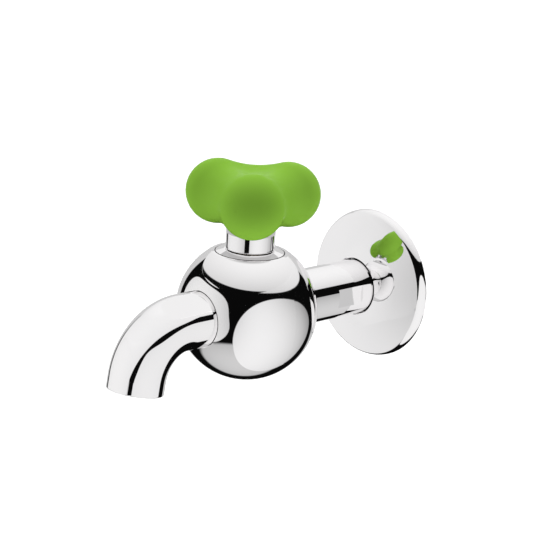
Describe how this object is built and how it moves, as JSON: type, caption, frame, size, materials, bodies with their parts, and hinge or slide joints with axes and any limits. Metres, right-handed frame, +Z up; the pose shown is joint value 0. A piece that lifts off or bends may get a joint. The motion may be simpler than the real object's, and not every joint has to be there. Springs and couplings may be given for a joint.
{
  "type": "bib tap",
  "caption": "Wall bib tap with a ball body, curved round spout, domed wall flange and three-lobed quarter-turn handle.",
  "frame": {"origin": "on the inlet axis at the wall plane, the plane of the flange's back edge", "axes": "+Y along the inlet axis into the wall, +Z up along the handle's turning axis, the spout points to -Y"},
  "size_m": [0.06, 0.1514, 0.0871],
  "materials": {
    "chrome_plate": "polished chrome plate on brass",
    "raw_brass": "turned",
    "black_rubber": "matt",
    "red_fibre": "pressed fibre",
    "white_ceramic": "lapped ceramic",
    "steel": "stainless",
    "grey_acetal": "moulded",
    "green_plastic": "satin, slightly translucent"
  },
  "bodies": {
    "tap_body": {"ball_body": "chrome_plate", "inlet_tube": "chrome_plate", "inlet_washer": "red_fibre", "spout_tube": "chrome_plate", "spout_washer": "red_fibre", "headwork_body": "raw_brass", "headwork_gasket": "red_fibre", "bonnet_ring": "chrome_plate", "seat_seal": "black_rubber", "fixed_disc": "white_ceramic", "aerator_housing": "grey_acetal", "aerator_insert": "grey_acetal", "aerator_screen": "steel", "aerator_washer": "black_rubber"},
    "handle": {"trefoil_handle": "green_plastic", "handle_hub": "chrome_plate", "hub_grub_screw": "steel", "spindle": "raw_brass", "slip_washer": "grey_acetal", "lower_spindle_ring": "black_rubber", "upper_spindle_ring": "black_rubber", "spindle_clip": "steel", "turning_disc": "white_ceramic"},
    "flange": {"wall_flange": "chrome_plate", "flange_grip_ring": "black_rubber"}
  },
  "joints": [
    {"name": "handle_turn", "type": "hinge", "parent": "tap_body", "child": "handle", "pos_m": [0, -0.07, 0.03], "axis": [0, 0, 1], "range_deg": [0, 90]},
    {"name": "flange_slide", "type": "slide", "parent": "tap_body", "child": "flange", "axis": [0, -1, 0], "range_m": [0, 0.025]}
  ]
}
